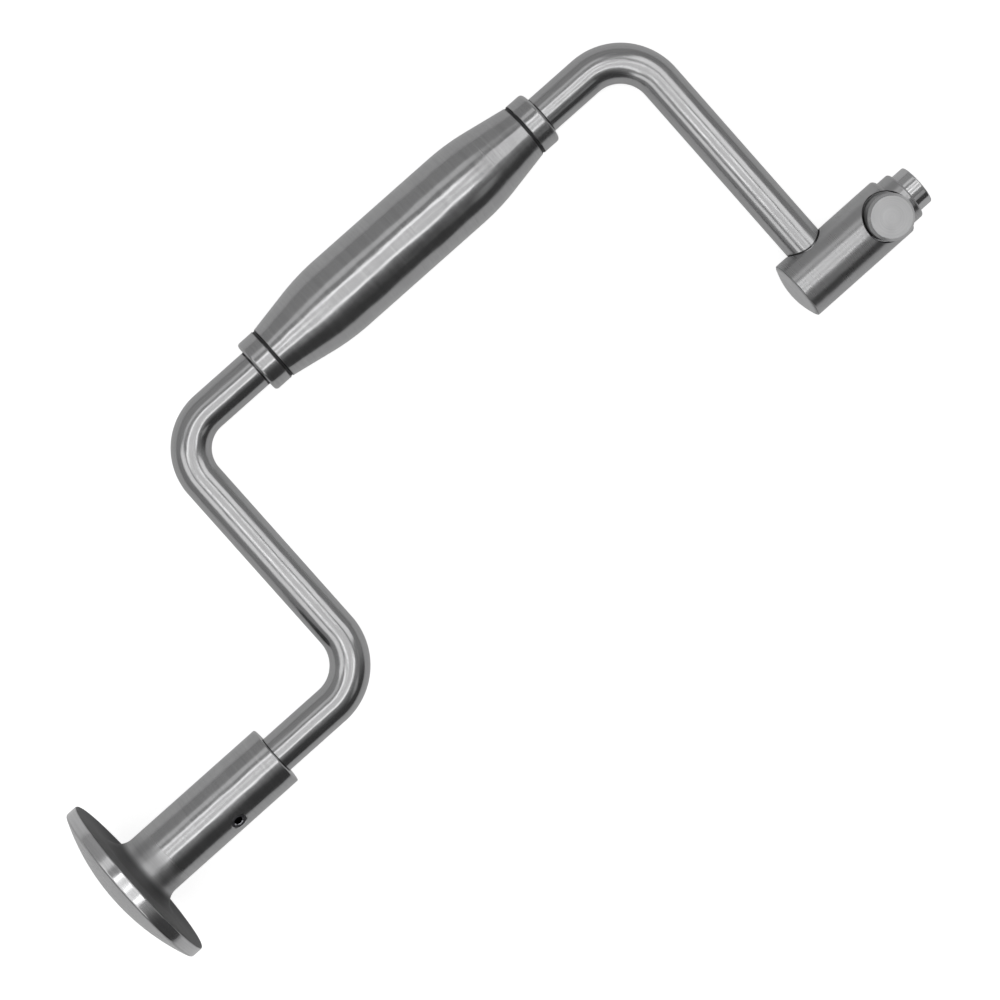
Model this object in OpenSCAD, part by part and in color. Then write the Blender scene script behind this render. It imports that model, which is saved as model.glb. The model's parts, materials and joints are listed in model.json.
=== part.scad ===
// Surgical hand drill: a crank with a palm rest, a turning grip and a push-button chuck.
// Millimetres. It lies on the floor as it rests on a table: on the palm disc, the grip and the chuck.
// The drive axis runs along X from the palm dome to the chuck nose, and the grip is toward +Y.

/* [Palm rest] */
// outside diameter of the palm disc
palm_d = 46; // [36:0.5:60]
// length of the disc's straight rim
palm_rim = 3.3; // [2:0.1:6]
// height of the low dome that the palm presses
palm_dome = 4.8; // [3:0.1:8]
// rounding of the rim's back edge
palm_edge = 0.6; // [0.3:0.1:1.2]
// rounding between the rim and the dome
palm_front = 0.8; // [0.3:0.1:1.2]
// outside diameter of the sleeve
sleeve_d = 16.2; // [14.5:0.1:22]
// sleeve length from the disc's back face to its open end
sleeve_len = 44.2; // [34:0.1:60]
// fillet between the disc and the sleeve
sleeve_fillet = 4.5; // [1:0.5:8]
// diameter of the steel ball that takes the thrust
ball_d = 8; // [5:0.5:9]
// distance from the open end to the retaining screw
screw_back = 17; // [12:0.5:24]
// angle of the retaining screw round the sleeve, from the button side, away from the grip
screw_turn = 46; // [0:1:90]
// thread diameter of the retaining screw
screw_d = 4; // [3:0.5:5]

/* [Crank rod] */
// diameter of the rod
rod_d = 10; // [8:0.1:12]
// distance from the drive axis to the grip axis
throw = 73.4; // [60:0.2:100]
// distance between the two arms, axis to axis
arm_gap = 147.8; // [125:0.2:190]
// distance from the sleeve's open end to the first arm's axis
low_leg = 31.1; // [22:0.1:50]
// centre-line radius of the bend next to the palm rest
bend_low = 13; // [11:0.5:18]
// centre-line radius of the bend next to the lower collar
bend_mid = 12; // [11:0.5:18]
// centre-line radius of the bend next to the upper collar
bend_high = 13; // [11:0.5:18]

/* [Grip] */
// length of the grip
grip_len = 81.3; // [60:0.1:96]
// largest diameter of the grip
grip_d = 20.6; // [18:0.1:28]
// diameter of the grip's two ends and of the collars
grip_end_d = 14.5; // [13.5:0.1:17]
// half angle of the tapered ends
grip_taper = 10.5; // [8:0.5:15]
// radius that blends the tapers into the straight middle
grip_blend = 60; // [30:1:80]
// length of the two bearing bushes inside the grip
bush_len = 12; // [8:0.5:18]
// wall of the two bearing bushes
bush_wall = 1.05; // [0.8:0.05:1.4]
// length of each collar
collar_len = 5; // [3:0.1:8]
// rounding of the collar's outer edge
collar_edge = 0.9; // [0.3:0.1:1.6]
// thickness of the black washer between the grip and each collar
washer = 0.4; // [0.3:0.05:1]

/* [Chuck] */
// outside diameter of the chuck barrel
barrel_d = 15.8; // [15:0.1:20]
// length of the barrel's straight body
barrel_len = 31.7; // [30:0.1:40]
// distance from the barrel's rear end to the arm's axis
barrel_tail = 8.8; // [8:0.1:12]
// height of the domed end cap
cap_dome = 1.7; // [1:0.1:3]
// diameter and length of the step behind the nose
step_d = 13.2; // [12:0.1:14.5]
step_len = 3.8; // [3:0.1:6]
// diameter and length of the nose
nose_d = 10.8; // [9.5:0.1:11.8]
nose_len = 3.9; // [3:0.1:7]
// bore that takes the shank of a bit
socket_d = 6.4; // [5:0.1:6.6]
// length of the insert that drives the shank's tang
insert_len = 8.4; // [6:0.1:9]
// width and height of the tang slot
tang_w = 5.4; // [4:0.1:6]
tang_h = 3.2; // [2:0.1:4]

/* [Push button] */
// diameter of the button's head
button_d = 11.8; // [10.5:0.1:12.4]
// distance from the barrel's front end back to the button's axis
button_back = 4.1; // [3.6:0.1:6]
// height of the head's top above the drive axis, at rest
button_top = 11.3; // [10.5:0.1:13]
// how far the button is pressed to free a bit
button_travel = 1.6; // [1:0.1:1.8]
// angle of the button's axis off the crank's normal, away from the grip
button_turn = 7; // [0:1:12]
// bright chamfer round the button's face
button_chamfer = 0.7; // [0.3:0.1:1]
// wire of the coil spring under the head
wire_d = 0.6; // [0.4:0.05:0.7]
// turns of the coil spring
spring_turns = 3.5; // [2.5:0.5:4]

/* [Hidden] */
// radial play of the turning and sliding fits
play = 0.05;
// gap between bodies that face each other
gap = 0.3;
// small edge break on turned edges, and the finer one at a seam
edge = 0.4;
seam = 0.15;
// how far two shapes of one solid reach into each other
bite = 0.1;
// how far a cutter runs past the face it cuts
over = 1;
// round surfaces and fine round surfaces
$fn = 96;
coil_steps = 24;
coil_sides = 8;

palm_r = palm_d / 2;
dome_r = (palm_r * palm_r + palm_dome * palm_dome) / (2 * palm_dome);
back_x = palm_dome + palm_rim;
// the rounding between rim and dome: its centre, and where it touches the dome
round_r = palm_r - palm_front;
round_x = dome_r - sqrt(pow(dome_r - palm_front, 2) - round_r * round_r);
touch_r = round_r * dome_r / (dome_r - palm_front);
touch_x = dome_r - sqrt(dome_r * dome_r - touch_r * touch_r);
mouth_x = back_x + sleeve_len;
bore_r = rod_d / 2 + play;

// the seat of the ball is the cone that a drill leaves
drill_half = 59;
seat_tip_x = 5.4;
seat_x = seat_tip_x + bore_r / tan(drill_half);
ball_x = seat_tip_x + ball_d / 2 / sin(drill_half);
rod_end_x = ball_x + ball_d / 2 + play;

// retaining screw and the groove that it runs in
screw_x = mouth_x - screw_back;
screw_top = sleeve_d / 2 - 0.3;
sink_h = 0.8;
groove_depth = 1.0;
groove_r = rod_d / 2 - groove_depth;
dog_d = screw_d * 0.65;
dog_in = groove_r + 0.2;
dog_out = bore_r + 0.3;
hex_flats = screw_d / 2;
hex_deep = 1.5;
groove_w = dog_d + 2 * gap;

arm_1_x = mouth_x + low_leg;
arm_2_x = arm_1_x + arm_gap;
rod_r = rod_d / 2;

// the grip is centred between the arms
grip_x = (arm_1_x + arm_2_x) / 2;
grip_r = grip_d / 2;
grip_end_r = grip_end_d / 2;
taper_len = (grip_r - grip_end_r) / tan(grip_taper);
blend_tan = grip_blend * tan(grip_taper / 2);
blend_x = grip_len / 2 - taper_len - blend_tan;
taper_x = grip_len / 2 - taper_len + blend_tan * cos(grip_taper);
taper_r = grip_r - blend_tan * sin(grip_taper);
bush_r = bore_r + bush_wall;

// each washer has play on both faces and stays just below the grip's end all round
collar_gap = washer + 2 * play;
washer_r = grip_end_r - 0.2;
// the collar is relieved round the rod at its outer face, which leaves a dark ring
ring_w = 0.5;
ring_deep = 0.9;

// stations of the chuck
rear_x = arm_2_x - barrel_tail;
front_x = rear_x + barrel_len;
step_x = front_x + step_len;
nose_x = step_x + nose_len;
barrel_r = barrel_d / 2;
step_r = step_d / 2;
nose_r = nose_d / 2;
shoulder = 1.0;
step_edge = 0.6;
cap_edge = 1.2;
cap_r = (barrel_r * barrel_r + cap_dome * cap_dome) / (2 * cap_dome);
button_x = front_x - button_back;

// the plunger under the button crosses the socket, with a wall on both sides of its hole
stem_wall = 0.9;
stem_d = socket_d + 2 * stem_wall;
stem_r = stem_d / 2;
stem_bore_r = stem_r + play;
cross_r = socket_d / 2 + 0.1;
// the shank is guided by the nose only, and the bore is relieved from the plunger back
land = 0.45;
guide_x = button_x + stem_bore_r + land;
relief_r = socket_d / 2 + 0.2;
stem_low = 5.5;
stem_floor = stem_low + 0.2;
well_floor = socket_d / 2 + 1.4;
head_low = well_floor + button_travel + 0.2;
well_r = button_d / 2 + gap + play;
pocket_r = stem_r + 0.95;
pocket_top = head_low + 3;

// the drive insert sits in the rear bore, right behind the plunger
rear_bore_r = 4.5;
insert_front = button_x - stem_bore_r - land;
insert_rear = insert_front - insert_len;
rod_tip = rear_bore_r;

// the guide pin holds the plunger in and keeps it from turning
pin_d = 1.2;
slot_low = stem_low - 0.8;
slot_top = slot_low - pin_d - button_travel - play;
slot_deep = 0.7;
pin_z = button_travel - slot_low + pin_d / 2 + 0.02;
pin_in = stem_r - slot_deep + 0.1;
pin_out = sqrt(barrel_r * barrel_r - pin_z * pin_z) - 0.15;

coil_r = (stem_r + pocket_r) / 2;
coil_low = well_floor + wire_d / 2;
coil_top = pocket_top - play - wire_d / 2;

// rest: the three points that touch the floor set the two lean angles
rim_x = back_x - palm_edge;
rim_r = palm_r - palm_edge;
toe_x = front_x - shoulder;
toe_r = barrel_r - shoulder;
rest_run = toe_x - rim_x;
rest_rise = rim_r - toe_r;
pitch = atan2(rest_rise, rest_run) - asin((shoulder - palm_edge) / norm([rest_run, rest_rise]));
axis_low = rim_x * sin(pitch) + rim_r * cos(pitch) + palm_edge;
belly_low = (grip_x + blend_x) * sin(pitch) + (grip_r - grip_blend) * cos(pitch) + grip_blend;
roll = asin((belly_low - axis_low) / (cos(pitch) * throw));
low_end_x = dome_r * (cos(pitch) - 1);
high_end_x = (nose_x - edge) * cos(pitch) + (nose_r - edge) * sin(pitch) + edge;
low_side_y = -palm_r;
high_side_y = throw * cos(roll) + grip_r;

// the tool as it rests on the floor, its box centred over the origin
module laid() {
  translate([-(low_end_x + high_end_x) / 2, -(low_side_y + high_side_y) / 2, axis_low])
    rotate([roll, pitch, 0]) children();
}

// a turned body along X: the profile has radius across and station up
module turned() {
  rotate([0, 90, 0]) rotate_extrude() children();
}

// a rectangle of a turned profile, from r0 to r1 and from x0 to x1
module band(r0, r1, x0, x1) {
  translate([r0, x0]) square([r1 - r0, x1 - x0]);
}

// a band with both outer edges rounded, e0 at x0 and e1 at x1
module round_band(r1, x0, x1, e0, e1) {
  difference() {
    band(0, r1, x0, x1);
    band(r1 - e0, r1 + over, x0 - over, x0 + e0);
    band(r1 - e1, r1 + over, x1 - e1, x1 + over);
  }
  if (e0 > 0) intersection() {
    translate([r1 - e0, x0 + e0]) circle(e0);
    band(0, r1, x0, x0 + e0);
  }
  if (e1 > 0) intersection() {
    translate([r1 - e1, x1 - e1]) circle(e1);
    band(0, r1, x1 - e1, x1);
  }
}

// a bar along X or, with up, along Y
module bar_x(x0, x1, y, r) {
  translate([x0, y, 0]) rotate([0, 90, 0]) cylinder(r = r, h = x1 - x0);
}
module bar_y(x, y0, y1, r) {
  translate([x, y0, 0]) rotate([-90, 0, 0]) cylinder(r = r, h = y1 - y0);
}
// a quarter bend round a centre, starting at the given angle
module bend(x, y, radius, start) {
  translate([x, y, 0]) rotate([0, 0, start])
    rotate_extrude(angle = 90) translate([radius, 0]) circle(rod_r);
}

module sleeve_fillet_profile() {
  difference() {
    band(sleeve_d / 2 - over, sleeve_d / 2 + sleeve_fillet, back_x - over, back_x + sleeve_fillet);
    translate([sleeve_d / 2 + sleeve_fillet, back_x + sleeve_fillet]) circle(sleeve_fillet);
  }
}

module palm_rest() {
  color([0.62, 0.62, 0.63]) laid() difference() {
    turned() {
      intersection() {
        translate([0, dome_r]) circle(dome_r);
        band(0, touch_r, 0, touch_x);
      }
      polygon([[0, touch_x], [touch_r, touch_x], [round_r, round_x], [0, round_x]]);
      intersection() {
        translate([round_r, round_x]) circle(palm_front);
        band(round_r, palm_r, round_x - palm_front, round_x);
      }
      round_band(palm_r, round_x, back_x, 0, palm_edge);
      sleeve_fillet_profile();
      round_band(sleeve_d / 2, palm_dome + over, mouth_x, 0, edge);
    }
    bar_x(seat_x, mouth_x + over, 0, bore_r);
    turned() polygon([[0, seat_tip_x], [bore_r, seat_x], [bore_r, seat_x + over], [0, seat_x + over]]);
    turned() polygon([[0, mouth_x + over], [0, mouth_x - edge], [bore_r, mouth_x - edge],
                      [bore_r + edge, mouth_x], [bore_r + edge, mouth_x + over]]);
    at_screw() cylinder(d = screw_d, h = sleeve_d);
    at_screw() translate([0, 0, screw_top]) cylinder(d1 = screw_d, d2 = screw_d + 2 * sink_h, h = sink_h);
  }
}

// local Z points out of the sleeve at the retaining screw
module at_screw() {
  translate([screw_x, 0, 0]) rotate([screw_turn, 0, 0]) children();
}

module retaining_screw() {
  color([0.12, 0.12, 0.13]) laid() at_screw() difference() {
    union() {
      translate([0, 0, dog_in]) cylinder(d = dog_d, h = dog_out - dog_in + bite);
      translate([0, 0, dog_out]) cylinder(d = screw_d, h = screw_top - dog_out);
    }
    translate([0, 0, screw_top - hex_deep])
      cylinder(d = hex_flats / cos(30), h = hex_deep + over, $fn = 6);
  }
}

module thrust_ball() {
  color([0.7, 0.7, 0.71]) laid() translate([ball_x, 0, 0]) sphere(d = ball_d);
}

module crank_rod() {
  color([0.6, 0.6, 0.61]) laid() difference() {
    union() {
      turned() round_band(rod_r, rod_end_x, arm_1_x - bend_low, edge, 0);
      bend(arm_1_x - bend_low, bend_low, bend_low, -90);
      bar_y(arm_1_x, bend_low, throw - bend_mid, rod_r);
      bend(arm_1_x + bend_mid, throw - bend_mid, bend_mid, 90);
      bar_x(arm_1_x + bend_mid, arm_2_x - bend_high, throw, rod_r);
      bend(arm_2_x - bend_high, throw - bend_high, bend_high, 0);
      bar_y(arm_2_x, -rod_tip, throw - bend_high, rod_r);
    }
    turned() band(groove_r, rod_r + over, screw_x - groove_w / 2, screw_x + groove_w / 2);
  }
}

// a collar whose rounded, undercut face looks away from the grip, which is toward +X
module collar() {
  turned() difference() {
    round_band(grip_end_r, 0, collar_len, collar_edge, seam);
    band(0, rod_r, -over, collar_len + over);
    band(0, rod_r + ring_w, -over, ring_deep);
  }
}

module lower_collar() {
  color([0.62, 0.62, 0.63]) laid()
    translate([grip_x - grip_len / 2 - collar_gap - collar_len, throw, 0]) collar();
}

module upper_collar() {
  color([0.62, 0.62, 0.63]) laid()
    translate([grip_x + grip_len / 2 + collar_gap + collar_len, throw, 0]) rotate([0, 0, 180]) collar();
}

module thrust_washer(x) {
  color([0.1, 0.1, 0.1]) laid() translate([x, throw, 0]) turned()
    band(bore_r, washer_r, play, play + washer);
}

module lower_washer() {
  thrust_washer(grip_x - grip_len / 2 - collar_gap);
}

module upper_washer() {
  thrust_washer(grip_x + grip_len / 2);
}

// half of the grip's outline, from the middle to one end
module grip_half() {
  band(0, grip_r, -over, blend_x);
  intersection() {
    translate([grip_r - grip_blend, blend_x]) circle(grip_blend, $fn = 360);
    band(0, grip_r, blend_x - over, taper_x);
  }
  polygon([[0, 0], [grip_end_r, 0], [taper_r, taper_x], [grip_end_r, grip_len / 2], [0, grip_len / 2]]);
}

module grip_shell() {
  color([0.6, 0.6, 0.61]) laid() translate([grip_x, throw, 0]) turned() difference() {
    union() {
      grip_half();
      mirror([0, 1]) grip_half();
    }
    band(0, bush_r, -grip_len, grip_len);
  }
}

module bush() {
  turned() band(bore_r, bush_r, gap, bush_len);
}

module lower_bush() {
  color([0.72, 0.55, 0.3]) laid() translate([grip_x - grip_len / 2, throw, 0]) bush();
}

module upper_bush() {
  color([0.72, 0.55, 0.3]) laid() translate([grip_x + grip_len / 2, throw, 0])
    rotate([0, 0, 180]) bush();
}

// local frame of the button: origin where its axis meets the drive axis, Z out of its head
module at_button() {
  translate([button_x, 0, 0]) rotate([button_turn, 0, 0]) children();
}

module chuck_barrel() {
  color([0.6, 0.6, 0.61]) laid() difference() {
    turned() {
      round_band(barrel_r, rear_x, front_x, seam, shoulder);
      round_band(step_r, front_x - shoulder, step_x, 0, step_edge);
      round_band(nose_r, step_x - over, nose_x, 0, edge);
    }
    bar_x(rear_x - over, insert_front, 0, rear_bore_r);
    bar_x(insert_front - over, guide_x, 0, relief_r);
    bar_x(guide_x - over, nose_x + over, 0, socket_d / 2);
    turned() polygon([[0, nose_x + over], [0, nose_x - edge], [socket_d / 2, nose_x - edge],
                      [socket_d / 2 + edge, nose_x], [socket_d / 2 + edge, nose_x + over]]);
    bar_y(arm_2_x, -rod_tip, barrel_r + over, rod_r);
    bar_y(arm_2_x, rod_r, barrel_r + over, rod_r + edge);
    at_button() {
      translate([0, 0, -stem_floor]) cylinder(r = stem_bore_r, h = stem_floor + barrel_r);
      translate([0, 0, well_floor]) cylinder(r = well_r, h = barrel_r);
      translate([0, -pin_in, pin_z]) rotate([90, 0, 0]) cylinder(d = pin_d, h = barrel_r);
    }
  }
}

module chuck_end_cap() {
  color([0.6, 0.6, 0.61]) laid() turned() {
    intersection() {
      translate([0, rear_x - cap_dome + cap_r]) circle(cap_r);
      round_band(barrel_r, rear_x - cap_dome, rear_x, cap_edge, seam);
    }
    band(0, rear_bore_r, rear_x - cap_dome / 2, arm_2_x - rod_r - gap);
  }
}

module drive_insert() {
  color([0.5, 0.5, 0.52]) laid() difference() {
    bar_x(insert_rear, insert_front, 0, rear_bore_r);
    translate([insert_rear + over, 0, 0]) rotate([button_turn, 0, 0])
      translate([0, -tang_w / 2, -tang_h / 2]) cube([insert_len, tang_w, tang_h]);
  }
}

// the head, the plunger and its cross hole, drawn at rest: the hole stands above the socket
module push_button() {
  color([0.66, 0.66, 0.67]) laid() at_button() difference() {
    union() {
      translate([0, 0, button_travel - stem_low])
        cylinder(r = stem_r, h = pocket_top + 2 * bite + stem_low - button_travel);
      difference() {
        translate([0, 0, head_low]) cylinder(d = button_d, h = button_top - button_chamfer - head_low);
        translate([0, 0, head_low - over]) cylinder(r = pocket_r, h = pocket_top - head_low + over);
      }
      translate([0, 0, button_top - button_chamfer])
        cylinder(d1 = button_d, d2 = button_d - 2 * button_chamfer, h = button_chamfer);
    }
    translate([-button_d, 0, button_travel]) rotate([0, 90, 0]) cylinder(r = cross_r, h = 2 * button_d);
    translate([-pin_d / 2 - play, -stem_d, button_travel - slot_low])
      cube([pin_d + 2 * play, stem_d - stem_r + slot_deep, slot_low - slot_top]);
  }
}

function coil_at(t) = [
  coil_r * cos(360 * spring_turns * t),
  coil_r * sin(360 * spring_turns * t),
  coil_low + (coil_top - coil_low) * t
];
function coil_point(t, a) = coil_at(t) + wire_d / 2 * [
  cos(a) * cos(360 * spring_turns * t),
  cos(a) * sin(360 * spring_turns * t),
  sin(a)
];

// one wire swept along a helix, closed by its two flat ends
module button_spring() {
  last = coil_steps * spring_turns;
  points = [for (i = [0:last]) for (j = [0:coil_sides - 1]) coil_point(i / last, 360 * j / coil_sides)];
  sides = [for (i = [0:last - 1]) for (j = [0:coil_sides - 1])
    [i * coil_sides + j, i * coil_sides + (j + 1) % coil_sides,
     (i + 1) * coil_sides + (j + 1) % coil_sides, (i + 1) * coil_sides + j]];
  ends = [[for (j = [coil_sides - 1:-1:0]) j], [for (j = [0:coil_sides - 1]) last * coil_sides + j]];
  color([0.55, 0.55, 0.57]) laid() at_button() polyhedron(points, concat(sides, ends));
}

module guide_pin() {
  color([0.5, 0.5, 0.52]) laid() at_button()
    translate([0, -pin_in, pin_z]) rotate([90, 0, 0]) cylinder(d = pin_d, h = pin_out - pin_in);
}

palm_rest();
retaining_screw();
thrust_ball();
crank_rod();
lower_collar();
upper_collar();
lower_washer();
upper_washer();
grip_shell();
lower_bush();
upper_bush();
chuck_barrel();
chuck_end_cap();
drive_insert();
push_button();
button_spring();
guide_pin();
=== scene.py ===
"""Surgical hand drill: the finish of its steel, its turned and bent pieces, and the studio round it."""

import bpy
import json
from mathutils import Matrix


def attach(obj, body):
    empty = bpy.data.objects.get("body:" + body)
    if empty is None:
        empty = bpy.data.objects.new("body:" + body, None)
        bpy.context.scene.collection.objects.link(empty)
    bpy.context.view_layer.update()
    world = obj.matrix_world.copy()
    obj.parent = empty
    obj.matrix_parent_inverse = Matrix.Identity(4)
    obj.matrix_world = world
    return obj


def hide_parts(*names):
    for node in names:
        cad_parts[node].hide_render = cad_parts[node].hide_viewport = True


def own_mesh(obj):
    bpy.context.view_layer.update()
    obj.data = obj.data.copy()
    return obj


bl_info = {
    "name": "Surgical Hand Drill",
    "version": (1, 0, 0),
    "blender": (4, 5, 0),
    "location": "View3D > Sidebar > Hand Drill",
    "description": "Builds the looks of a crank-driven surgical hand drill round its packed frame",
    "category": "Add Mesh",
}

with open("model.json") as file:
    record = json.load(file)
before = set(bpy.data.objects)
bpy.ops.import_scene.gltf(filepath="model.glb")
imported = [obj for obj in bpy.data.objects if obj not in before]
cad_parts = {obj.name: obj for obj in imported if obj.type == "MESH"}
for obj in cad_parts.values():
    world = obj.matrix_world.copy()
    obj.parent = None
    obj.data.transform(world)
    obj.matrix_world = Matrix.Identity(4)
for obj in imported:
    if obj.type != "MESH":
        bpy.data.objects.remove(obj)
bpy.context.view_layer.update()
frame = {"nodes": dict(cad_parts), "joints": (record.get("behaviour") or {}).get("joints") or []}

import json
from math import acos, cos, pi, radians, sin, tan
from types import SimpleNamespace

import bpy
import numpy as np
from bpy.props import FloatProperty, FloatVectorProperty, IntProperty, PointerProperty
from mathutils import Matrix

MM = 0.001
# corners nearer than MERGE are one vertex, and stations and radii nearer than the others are the same
MERGE, SAME_STATION, SAME_RADIUS = 1e-7, 1e-6, 1e-9


# The tool's own axes

def tool_axes():
    """The tool frame from the record's joints.

    X runs along the drive axis from the palm dome, Y toward the grip and Z to the button's side.
    """
    joints = {j["name"]: j for j in frame["joints"]}
    along = np.array(joints["palm_swivel"]["axis"])
    mouth = np.array(joints["palm_swivel"]["pos_m"])
    side = np.array(joints["grip_spin"]["pos_m"]) - mouth
    side -= (side @ along) * along
    side /= np.linalg.norm(side)
    press = -np.array(joints["button_press"]["axis"])
    return SimpleNamespace(turn=np.stack((along, side, np.cross(along, side))), mouth=mouth, press=press)


AXES = tool_axes()


def turned(directions):
    """Directions of the tool frame in the row frame."""
    return np.asarray(directions) @ AXES.turn


def placed(points):
    """Points of the tool frame in the row frame, where the palm's joint lies at the sleeve's mouth."""
    return turned(points) + (AXES.mouth - turned([station_of_mouth(), 0, 0]))


def station_of_mouth():
    palm = settings().palm
    return palm.dome + palm.rim + palm.sleeve_length


# What a user would change

def length(name, millimetres, text):
    return FloatProperty(
        name=name, description=text, default=millimetres * MM, min=0.0, unit="LENGTH", subtype="DISTANCE")


def angle(name, degrees, text):
    return FloatProperty(name=name, description=text, default=radians(degrees), subtype="ANGLE")


def tint(name, default, text):
    return FloatVectorProperty(name=name, description=text, default=default, min=0, max=1, subtype="COLOR")


class HANDDRILL_PG_palm(bpy.types.PropertyGroup):
    disc: length("Disc", 46.0, "Outside diameter of the palm disc")
    dome: length("Dome", 4.8, "Height of the dome that the palm presses")
    rim: length("Rim", 3.3, "Length of the disc's straight rim")
    back_edge: length("Back edge", 0.6, "Rounding of the disc's back edge")
    front_edge: length("Front edge", 0.8, "Rounding between the rim and the dome")
    sleeve: length("Sleeve", 16.2, "Outside diameter of the sleeve")
    sleeve_length: length("Sleeve length", 44.2, "From the disc's back face to the open end")
    fillet: length("Fillet", 4.5, "Fillet between the disc and the sleeve")
    bore: length("Bore", 10.1, "Bore that the rod turns in")
    seat: length("Seat", 5.4, "Station of the tip of the ball's conical seat")
    screw_back: length("Screw back", 17.0, "From the open end to the retaining screw")
    screw: length("Screw", 4.0, "Diameter of the retaining screw")
    screw_sunk: length("Screw sunk", 0.3, "How far the screw's face lies under the sleeve's surface")
    screw_turn: angle("Screw turn", 46, "Angle of the screw round the sleeve from the button side")


class HANDDRILL_PG_rod(bpy.types.PropertyGroup):
    diameter: length("Diameter", 10.0, "Diameter of the bent bar")
    start: length("Start", 14.12, "Station of the rod's end inside the sleeve")
    arm_1: length("First arm", 83.4, "Station of the arm next to the palm rest")
    arm_2: length("Second arm", 231.2, "Station of the arm that enters the chuck")
    throw: length("Throw", 73.4, "From the drive axis to the grip's axis")
    bend_low: length("Low bend", 13.0, "Centre-line radius next to the palm rest")
    bend_mid: length("Middle bend", 12.0, "Centre-line radius next to the lower collar")
    bend_high: length("High bend", 13.0, "Centre-line radius next to the upper collar")
    groove: length("Groove", 8.0, "Diameter at the groove that the retaining screw runs in")
    groove_width: length("Groove width", 3.2, "Width of that groove")
    tip: length("Tip", 4.5, "How far the rod passes the drive axis inside the chuck")


class HANDDRILL_PG_grip(bpy.types.PropertyGroup):
    grip: length("Grip", 20.6, "Largest diameter of the grip")
    grip_length: length("Grip length", 81.3, "Length of the grip")
    ends: length("Ends", 14.5, "Diameter of the grip's ends and of the collars")
    taper: angle("Taper", 10.5, "Half angle of the tapered ends")
    blend: length("Blend", 60.0, "Radius that blends the tapers into the middle")
    bore: length("Bore", 12.2, "Bore that holds the two bushes")
    gap: length("Gap", 0.5, "Gap between the grip and each collar, which holds a washer")
    collar: length("Collar", 5.0, "Length of each collar")
    collar_edge: length("Collar edge", 0.9, "Rounding of each collar's outer edge")
    relief: length("Relief", 11.0, "Diameter of the relief round the rod in each collar's outer face")
    relief_deep: length("Relief depth", 0.9, "Depth of that relief")


class HANDDRILL_PG_chuck(bpy.types.PropertyGroup):
    barrel: length("Barrel", 15.8, "Outside diameter of the barrel")
    rear: length("Rear", 222.4, "Station of the barrel's rear face")
    cap_dome: length("Cap dome", 1.7, "Height of the end cap's dome")
    spigot: length("Spigot", 9.0, "Diameter of the end cap's spigot")
    spigot_end: length("Spigot end", 225.9, "Station of the spigot's end")
    step: length("Step", 257.9, "Station of the step's front end")
    button: length("Button", 250.0, "Station of the button's axis")
    button_top: length("Button top", 11.3, "Height of the button's face above the drive axis")
    button_chamfer: length("Button chamfer", 0.7, "Chamfer round the button's face")
    well: length("Well", 12.5, "Diameter of the well round the button")
    spring_low: length("Spring low", 4.9, "Height of the spring's first turn above the drive axis")
    spring_high: length("Spring high", 9.05, "Height of its last turn")
    spring_radius: length("Spring radius", 4.575, "Radius of the coil's centre line")
    wire: length("Wire", 0.6, "Diameter of the spring's wire")
    spring_turns: FloatProperty(
        name="Spring turns", description="Turns of the coil spring", default=3.5, min=1.0)


class HANDDRILL_PG_finish(bpy.types.PropertyGroup):
    steel: tint("Steel", (0.46, 0.46, 0.464), "Colour of the satin steel")
    black: tint("Black", (0.06, 0.06, 0.064), "Colour of the blackened screw")
    bronze: tint("Bronze", (0.62, 0.40, 0.18), "Colour of the bearing bronze")
    # the washers' black also stands for the shade in the gaps between the grip and its collars: partly
    # painted shade
    washer_and_gap_black: tint("Nylon", (0.02, 0.02, 0.021), "Colour of the washers")
    satin: FloatProperty(
        name="Satin", description="Roughness of the satin steel", default=0.2, min=0, max=1, subtype="FACTOR")
    around: IntProperty(name="Around", description="Facets round a turned piece", default=192, min=8, max=512)


GROUPS = (("handdrill_palm", HANDDRILL_PG_palm), ("handdrill_rod", HANDDRILL_PG_rod),
          ("handdrill_grip", HANDDRILL_PG_grip), ("handdrill_chuck", HANDDRILL_PG_chuck),
          ("handdrill_finish", HANDDRILL_PG_finish))


def settings():
    """The five groups of sizes and colours, each under its own short name."""
    scene = bpy.context.scene
    return SimpleNamespace(**{name.split("_")[1]: getattr(scene, name) for name, _ in GROUPS})


# Surfaces

def profile(corners, arc_steps=6, support=0.25 * MM):
    """An outline of (station, radius, fillet) rows as points with exact normals.

    A fillet of 0 keeps a smooth point, whose normal is the mean of its two sides. A fillet f replaces the
    corner by an arc that starts and ends f * tan(half the turn) from it. On an outer corner tighter than a
    millimetre the arc has a mark of 1, because it wears brightest, and a support point on each side, which
    keeps the shading flat. Returns rows of station, radius, the normal's two parts and the mark.
    """
    rows = np.array(corners, float)
    at, fillet = rows[:, :2], rows[:, 2]
    step = np.diff(at, axis=0)
    step /= np.linalg.norm(step, axis=1)[:, None]
    normal = np.stack((-step[:, 1], step[:, 0]), 1)
    out = [[*at[0], *normal[0], 0.0]]
    for k in range(1, len(at) - 1):
        a, b = step[k - 1], step[k]
        if fillet[k] <= 0:
            mean = normal[k - 1] + normal[k]
            out.append([*at[k], *(mean / np.linalg.norm(mean)), 0.0])
            continue
        turn = acos(np.clip(a @ b, -1, 1))
        cut = fillet[k] * tan(turn / 2)
        t = np.linspace(0, 1, arc_steps + 1)[:, None]
        n = (np.sin((1 - t) * turn) * normal[k - 1] + np.sin(t * turn) * normal[k]) / sin(turn)
        outer = 1 if a[0] * b[1] - a[1] * b[0] < 0 else -1
        centre = at[k] - a * cut - outer * fillet[k] * normal[k - 1]
        arc = centre + outer * fillet[k] * n
        tight = 1.0 if fillet[k] < MM and outer > 0 else 0.0
        if tight:
            out.append([*(arc[0] - a * support), *normal[k - 1], 0.0])
        out.extend([*p, *q, tight] for p, q in zip(arc, n))
        if tight:
            out.append([*(arc[-1] + b * support), *normal[k], 0.0])
    out.append([*at[-1], *normal[-1], 0.0])
    return np.array(out)


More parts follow.
